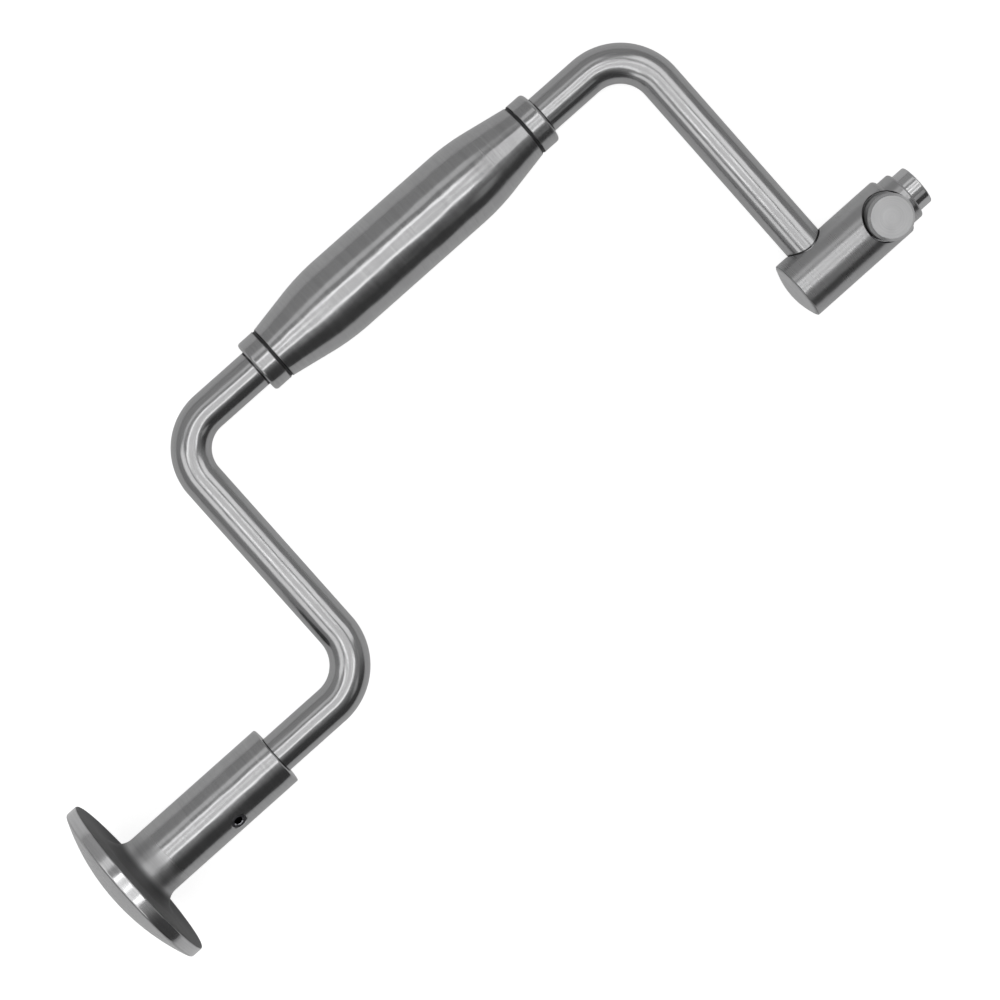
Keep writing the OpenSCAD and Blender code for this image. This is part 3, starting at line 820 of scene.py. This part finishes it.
class HANDDRILL_OT_retaining_screw(bpy.types.Operator):
    """Blackened grub screw with a hexagon socket, in the sleeve's side."""
    bl_idname = "handdrill.retaining_screw"
    bl_label = "Retaining Screw"

    def execute(self, context):
        p = settings().palm
        r, top = p.screw / 2, p.sleeve / 2 - p.screw_sunk
        dog, dog_end, thread_end = 1.3 * MM, 4.2 * MM, 5.35 * MM
        flats, deep, point = p.screw / 2, 1.5 * MM, 0.5 * MM
        mouth, sunk, worn, around = flats / 2 / cos(pi / 6) + 0.16 * MM, 0.12 * MM, 0.15, 96
        outline = profile([
            (dog_end, 0, 0), (dog_end, dog, 0.15 * MM), (thread_end, dog, 0.1 * MM),
            (thread_end, r, 0.3 * MM), (top, r, 0.28 * MM), (top, mouth, 0)], arc_steps=5)
        centre = np.array([station_of_mouth() - p.screw_back, 0, 0])
        axis = from_hole(np.array([0, 0, 1.0]), p.screw_turn)
        side, up = np.array([1.0, 0, 0]), np.cross(axis, [1.0, 0, 0])

        def path(z):
            ones = np.ones((len(z), 1))
            return centre + z[:, None] * axis, ones * axis, ones * side, ones * up

        def outward(turn):
            return np.cos(turn)[:, None] * side + np.sin(turn)[:, None] * up
        body = carry(outline, around, path)
        # the screw's own edge is rubbed less than its socket's rim
        body[2] *= worn
        turn = np.linspace(0, 2 * pi, around + 1)
        out = outward(turn)
        out[-1] = out[0]
        # a hexagon's rim lies half its flats / cos(angle from the middle of the flat) from the axis
        hexagon = flats / 2 / np.cos((turn + pi / 6) % (pi / 3) - pi / 6)

        def band(first, second, normals, mark):
            """The strip between two rings, each a radius and a height, as a sheet."""
            rings = np.stack([centre + np.reshape(radius, (-1, 1)) * out + height * axis
                              for radius, height in (first, second)])
            uv = np.stack(np.meshgrid(turn / (2 * pi), [0, 1]), -1)
            return sheet(rings, np.broadcast_to(normals, rings.shape), np.full(rings.shape[:2], mark), uv)
        lip, foot = (hexagon, top - sunk), (hexagon, top - deep)
        # the socket's rim carries the full edge mark, which the screw's finish turns into a painted glint
        chamfer = band((mouth, top), lip, (axis - out) / np.sqrt(2), 1.0)
        floor = band(foot, (0.0, top - deep - point), axis, 0.0)
        walls = band(lip, foot, -out, 0.0)
        middle = (turn[:-1] + turn[1:]) / 2
        walls[1] = np.repeat(-outward(np.round(middle / (pi / 3)) * (pi / 3))[:, None], 4, 1)
        put("retaining_screw_black", [body, chamfer, floor, walls],
            "palm", "black_steel", finish_of("black_screw"), "retaining_screw")
        return {"FINISHED"}


def rod_legs(rod):
    """The rod's straight legs and bends in order: length, and curvature toward +Y at the start of a turn."""
    low, mid, high = rod.bend_low, rod.bend_mid, rod.bend_high
    return [
        (rod.arm_1 - low - rod.start, 0.0), (low * pi / 2, 1 / low),
        (rod.throw - mid - low, 0.0), (mid * pi / 2, -1 / mid),
        (rod.arm_2 - high - rod.arm_1 - mid, 0.0), (high * pi / 2, -1 / high),
        (rod.throw - high + rod.tip, 0.0)]


def rod_length(rod):
    return sum(run for run, _ in rod_legs(rod))


def rod_path(rod):
    """The rod's centre line in the crank's plane, and where its legs and bends begin.

    The heading h turns evenly in a bend, so the place there is the start plus
    (sin h - sin h0, cos h0 - cos h) / curvature, and on a leg the start plus the way along the heading.
    """
    legs = np.array(rod_legs(rod))
    begin = np.r_[0, np.cumsum(legs[:, 0])]
    heading = np.r_[0, np.cumsum(legs[:, 0] * legs[:, 1])]

    def step(run, bend, h0):
        h = h0 + run * bend
        safe = np.where(bend == 0, 1.0, bend)
        x = np.where(bend == 0, run * np.cos(h0), (np.sin(h) - np.sin(h0)) / safe)
        y = np.where(bend == 0, run * np.sin(h0), (np.cos(h0) - np.cos(h)) / safe)
        return np.stack((x, y), -1), h
    moves = step(legs[:, 0], legs[:, 1], heading[:-1])[0]
    corner = np.array([rod.start, 0.0]) + np.r_[np.zeros((1, 2)), np.cumsum(moves, 0)]

    def path(s):
        k = np.clip(np.searchsorted(begin, s, side="right") - 1, 0, len(legs) - 1)
        move, h = step(s - begin[k], legs[k, 1], heading[k])
        zero = np.zeros_like(s)
        centre = np.column_stack((corner[k] + move, zero))
        tangent = np.stack((np.cos(h), np.sin(h), zero), 1)
        side = np.stack((-np.sin(h), np.cos(h), zero), 1)
        return centre, tangent, side, np.stack((zero, zero, zero + 1), 1)
    return path, begin


class HANDDRILL_OT_crank_rod(bpy.types.Operator):
    """Bent bar with four legs and three bends, and a groove for the retaining screw."""
    bl_idname = "handdrill.crank_rod"
    bl_label = "Crank Rod"

    def execute(self, context):
        s = settings()
        rod = s.rod
        path, begin = rod_path(rod)
        r, low, end, edge = rod.diameter / 2, rod.groove / 2, begin[-1], 0.08 * MM
        groove = station_of_mouth() - s.palm.screw_back - rod.start
        g0, g1 = groove - rod.groove_width / 2, groove + rod.groove_width / 2
        outline = profile([
            (0, 0, 0), (0, r, 0.4 * MM), (g0, r, edge), (g0, low, edge), (g1, low, edge), (g1, r, edge),
            (end, r, 0.2 * MM), (end, 0, 0)])
        per_bend, per_leg, around = 48, 8, 128
        bends = [np.linspace(begin[k], begin[k + 1], per_bend + 1) for k in (1, 3, 5)]
        legs = [np.linspace(begin[k], begin[k + 1], per_leg + 1)[1:-1] for k in (2, 4, 6)]
        skin = carry(more_stations(outline, np.sort(np.concatenate(bends + legs))), around, path)
        put("crank_rod_bent", [skin], "crank", "rod_steel", finish_of("satin_rod"), "crank_rod")
        return {"FINISHED"}


class HANDDRILL_OT_grip(bpy.types.Operator):
    """Turned steel grip with tapered ends, which spins on the rod."""
    bl_idname = "handdrill.grip"
    bl_label = "Grip"

    def execute(self, context):
        s = settings()
        g, rod = s.grip, s.rod
        big, end, bore, half = g.grip / 2, g.ends / 2, g.bore / 2, g.grip_length / 2
        # each taper runs straight to the end, from an arc of radius blend that starts blend * tan(taper / 2)
        # before the place where the taper would meet the middle
        run_out = (big - end) / tan(g.taper)
        blend = half - run_out - g.blend * tan(g.taper / 2)
        turns = np.linspace(0, g.taper, 20)
        arc = [(blend + g.blend * sin(t), big - g.blend * (1 - cos(t)), 0) for t in turns]
        right = [*arc, (half, end, 0.25 * MM), (half, bore, 0.12 * MM)]
        left = [(-x, r, f) for x, r, f in reversed(right)]
        outline = profile([(0, bore, 0), *left, *right, (0, bore, 0)])
        outline[:, 0] += (rod.arm_1 + rod.arm_2) / 2
        skin = carry(outline, s.finish.around, straight(rod.throw))
        put("grip_turned", [skin], "grip", "grip_steel", finish_of("satin_grip"), "grip_shell")
        dress(finish_of("bush_bronze"), "lower_bush", "upper_bush")
        return {"FINISHED"}


class HANDDRILL_OT_collars(bpy.types.Operator):
    """Two collars on the rod, one at each end of the grip, and the black washers between."""
    bl_idname = "handdrill.collars"
    bl_label = "Collars"

    def execute(self, context):
        s = settings()
        g, rod = s.grip, s.rod
        middle, half = (rod.arm_1 + rod.arm_2) / 2, g.grip_length / 2
        hole, out, deep, wide, edge = rod.diameter / 2, g.ends / 2, g.relief_deep, g.relief / 2, 0.06 * MM
        rows = [
            (g.collar / 2, hole, 0), (deep, hole, edge), (deep, wide, edge), (0, wide, 0.08 * MM),
            (0, out, g.collar_edge), (g.collar, out, 0.15 * MM), (g.collar, hole, edge),
            (g.collar / 2, hole, 0)]
        for name, sign in (("lower_collar", 1), ("upper_collar", -1)):
            start = middle - sign * (half + g.gap + g.collar)
            outline = profile([(start + sign * x, r, f) for x, r, f in rows][::sign])
            skin = carry(outline, s.finish.around, straight(rod.throw))
            put(name + "_turned", [skin], "crank", "collar_steel", finish_of("satin_collar"), name)
        # the washers are black, which also stands for the shade in their gaps
        dress(finish_of("black_washer_and_gap_shade"), "lower_washer", "upper_washer")
        return {"FINISHED"}


class HANDDRILL_OT_chuck(bpy.types.Operator):
    """Chuck barrel with its domed end cap, drive insert and guide pin."""
    bl_idname = "handdrill.chuck"
    bl_label = "Chuck"

    def execute(self, context):
        s = settings()
        c = s.chuck
        r, spigot = c.barrel / 2, c.spigot / 2
        # the dome is part of a ball of radius (r^2 + h^2) / 2h
        ball = (r ** 2 + c.cap_dome ** 2) / (2 * c.cap_dome)
        tip, rings = c.rear - c.cap_dome, 28
        dome = [(tip + ball - np.sqrt(ball ** 2 - v ** 2), v, 0) for v in np.linspace(0, 1, rings)[:-1] * r]
        outline = profile([
            *dome, (c.rear, r, 0.12 * MM), (c.rear, spigot, 0.06 * MM), (c.spigot_end, spigot, 0.3 * MM),
            (c.spigot_end, 0, 0)])
        skin = carry(outline, s.finish.around, straight())
        put("chuck_end_cap_domed", [skin], "crank", "chuck_steel", finish_of("satin_cap"), "chuck_end_cap")
        dress(finish_of("satin_barrel"), "chuck_barrel")
        dress(finish_of("ground_steel"), "drive_insert", "guide_pin")
        return {"FINISHED"}


class HANDDRILL_OT_button(bpy.types.Operator):
    """Push button and the coil spring under its head."""
    bl_idname = "handdrill.button"
    bl_label = "Push Button"

    def execute(self, context):
        c = settings().chuck
        dress(finish_of("matt_button"), "push_button")
        up = AXES.press @ AXES.turn.T
        side = np.array([1.0, 0, 0])
        across = np.cross(up, side)
        turns, tall = c.spring_turns, c.spring_high - c.spring_low

        def path(share):
            """A helix: round the button's axis by the turn, up it by the share of the height."""
            a = 2 * pi * turns * share[:, None]
            out = np.cos(a) * side + np.sin(a) * across
            place = [c.button, 0, 0] + c.spring_radius * out + (c.spring_low + tall * share[:, None]) * up
            way = 2 * pi * turns * c.spring_radius * (-np.sin(a) * side + np.cos(a) * across) + tall * up
            way /= np.linalg.norm(way, axis=1)[:, None]
            return place, way, out, np.cross(way, out)
        thick, per_turn, around = c.wire / 2, 48, 20
        shares = np.linspace(0, 1, int(per_turn * turns) + 1)
        coil = np.column_stack(np.broadcast_arrays(shares, thick, 0, 1, 0))
        first = [[0, 0, -1, 0, 0], [0, thick, -1, 0, 0]]
        last = [[1, thick, 1, 0, 0], [1, 0, 1, 0, 0]]
        sheets = [carry(np.array(part, float), around, path) for part in (coil, first, last)]
        spring = put("button_spring_coil", sheets,
                     "crank", "spring_steel", finish_of("spring_wire"), "button_spring")
        foot = placed([c.button, 0, 0]) + AXES.press * (c.spring_low - thick)
        tall += c.wire
        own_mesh(spring)
        return {"FINISHED"}


# Studio

CAMERA = SimpleNamespace(
    place=(0.0263022, 0.0454860, 0.9498271), turn=(-3.95301124, -1.59455425, -41.42531247),
    lens=138.6372, sensor=36.0, near=0.01, far=50)
# soft boxes that face the floor: name, centre in the tool frame, size, brightness
TOP_BOXES = (
    ("top", (0.080, 0.010, 0.690), (0.620, 0.530), 0.69),
    ("top_far", (0.080, 0.232, 0.685), (0.620, 0.080), 1.30),
    ("top_near", (0.080, -0.213, 0.685), (0.620, 0.080), 1.40),
    ("top_left", (-0.094, 0.031, 0.685), (0.090, 0.065), 2.25),
    ("top_right", (0.340, 0.030, 0.685), (0.110, 0.070), 1.50),
)
# soft boxes beside the tool: name, centre, size, brightness, and the way each faces
SIDE_BOXES = (
    ("side_left", (-0.19, 0.04, 0.29), (0.16, 0.6), 0.95, (0.66, 0, -0.75)),
    ("side_right", (0.53, 0.06, 0.45), (0.26, 0.42), 1.05, (-0.70, 0, -0.71)),
    ("side_far", (0.12, 0.69, 0.79), (1.0, 0.26), 0.46, (0, -0.65, -0.76)),
    ("side_near", (0.42, -0.70, 0.58), (0.20, 0.30), 0.36, (-0.30, 0.70, -0.62)),
)
# colour of the floor, its half width, and the brightness it adds where it is seen and where it is mirrored
PAPER, PAPER_HALF, PAPER_SEEN, PAPER_MIRRORED = (0.6, 0.6, 0.6, 1), 6, 0.78, 0.14
# brightness of the room, toward -Y, in the middle and toward +Y, and between which parts along Y it changes
ROOM_DARK, ROOM, ROOM_FAR = 0.064, 0.312, 0.365
DARK_TO_ROOM, ROOM_TO_FAR = (-0.80, -0.42), (0.35, 0.80)


class HANDDRILL_OT_studio(bpy.types.Operator):
    """Pale floor, soft boxes, dim walls and the camera."""
    bl_idname = "handdrill.studio"
    bl_label = "Studio"

    def execute(self, context):
        scene = context.scene
        scene.view_settings.view_transform = "Standard"
        camera = bpy.data.objects.new("camera", bpy.data.cameras.new("camera"))
        camera.data.lens, camera.data.sensor_width = CAMERA.lens, CAMERA.sensor
        camera.location = CAMERA.place
        camera.rotation_euler = [radians(v) for v in CAMERA.turn]
        camera.data.clip_start, camera.data.clip_end = CAMERA.near, CAMERA.far
        scene.collection.objects.link(camera)
        scene.camera = camera
        self.floor(scene)
        self.walls(scene)
        for box in (*TOP_BOXES, *SIDE_BOXES):
            self.soft_box(scene, *box)
        return {"FINISHED"}

    def floor(self, scene):
        """Pale paper. What the lamps leave short of white is added where it is seen or mirrored."""
        mesh = bpy.data.meshes.new("floor")
        corners = [(x * PAPER_HALF, y * PAPER_HALF, 0) for x, y in ((-1, -1), (1, -1), (1, 1), (-1, 1))]
        mesh.from_pydata(corners, [], [(0, 1, 2, 3)])
        floor = bpy.data.objects.new("floor", mesh)
        scene.collection.objects.link(floor)
        made = bpy.data.materials.new("white_paper")
        tree, surface = blank(made, "Material")
        paper = node(tree, "ShaderNodeBsdfDiffuse", Color=PAPER)
        light = tree.nodes.new("ShaderNodeLightPath").outputs
        seen = maths(tree, "MULTIPLY", light["Is Camera Ray"], PAPER_SEEN)
        mirrored = maths(tree, "MAXIMUM", light["Is Glossy Ray"], light["Is Transmission Ray"])
        glow = node(tree, "ShaderNodeEmission", Strength=plus(tree, seen, mirrored, PAPER_MIRRORED))
        both = node(tree, "ShaderNodeAddShader", i0=paper.outputs[0], i1=glow.outputs[0])
        tree.links.new(both.outputs[0], surface)
        mesh.materials.append(made)

    def walls(self, scene):
        """The room: white where the camera sees it, and dim where it is mirrored, darkest toward -Y."""
        scene.world = bpy.data.worlds.new("studio")
        tree, surface = blank(scene.world, "World")
        way = tree.nodes.new("ShaderNodeTexCoord").outputs["Generated"]
        y = node(tree, "ShaderNodeSeparateXYZ", i0=way).outputs["Y"]
        near = ramp(tree, y, *DARK_TO_ROOM, ROOM_DARK, ROOM)
        far = ramp(tree, y, *ROOM_TO_FAR, 0.0, ROOM_FAR - ROOM)
        light = tree.nodes.new("ShaderNodeLightPath").outputs
        clear = maths(tree, "MAXIMUM", light["Is Camera Ray"], light["Is Transmission Ray"])

        def mix(share, low, high):
            return node(tree, "ShaderNodeMix", {"data_type": "FLOAT"}, i0=share, i2=low, i3=high).outputs[0]
        level = mix(clear, mix(light["Is Glossy Ray"], ROOM, maths(tree, "ADD", near, far)), 1.0)
        back = node(tree, "ShaderNodeBackground", Color=(1, 1, 1, 1), Strength=level)
        tree.links.new(back.outputs[0], surface)

    def soft_box(self, scene, name, centre, size, level, facing=(0, 0, -1)):
        """A rectangular lamp in the tool frame, with that brightness: its power is brightness * pi * area."""
        lamp = bpy.data.lights.new(name, "AREA")
        lamp.shape, lamp.size, lamp.size_y = "RECTANGLE", size[0], size[1]
        lamp.energy = level * pi * size[0] * size[1]
        made = bpy.data.objects.new(name, lamp)
        z = -np.array(facing, float) / np.linalg.norm(facing)
        x = np.cross([0, 1.0, 0], z)
        x /= np.linalg.norm(x)
        turn = turned(np.stack((x, np.cross(z, x), z)))
        made.matrix_world = Matrix.Translation(placed(centre)) @ Matrix(turn.T.tolist()).to_4x4()
        made.visible_camera = False
        scene.collection.objects.link(made)


PIECES = (HANDDRILL_OT_palm_rest, HANDDRILL_OT_retaining_screw, HANDDRILL_OT_crank_rod, HANDDRILL_OT_grip,
          HANDDRILL_OT_collars, HANDDRILL_OT_chuck, HANDDRILL_OT_button, HANDDRILL_OT_studio)


class HANDDRILL_PT_panel(bpy.types.Panel):
    """Lists the sizes, the finish and one button for each piece."""
    bl_idname = "HANDDRILL_PT_panel"
    bl_label = "Hand Drill"
    bl_space_type = "VIEW_3D"
    bl_region_type = "UI"
    bl_category = "Hand Drill"

    def draw(self, context):
        for attribute, kind in GROUPS:
            box = self.layout.box()
            box.label(text=attribute.split("_")[1].capitalize())
            for key in kind.__annotations__:
                box.prop(getattr(context.scene, attribute), key)
        for kind in PIECES:
            self.layout.operator(kind.bl_idname)


CLASSES = (*(kind for _, kind in GROUPS), *PIECES, HANDDRILL_PT_panel)


def register():
    for kind in CLASSES:
        bpy.utils.register_class(kind)
    for attribute, kind in GROUPS:
        setattr(bpy.types.Scene, attribute, PointerProperty(type=kind))


def unregister():
    for attribute, _ in GROUPS:
        delattr(bpy.types.Scene, attribute)
    for kind in reversed(CLASSES):
        bpy.utils.unregister_class(kind)


def main():
    register()
    bpy.ops.handdrill.palm_rest()
    bpy.ops.handdrill.retaining_screw()
    bpy.ops.handdrill.crank_rod()
    bpy.ops.handdrill.grip()
    bpy.ops.handdrill.collars()
    bpy.ops.handdrill.chuck()
    bpy.ops.handdrill.button()
    bpy.ops.handdrill.studio()


if __name__ == "__main__":
    main()
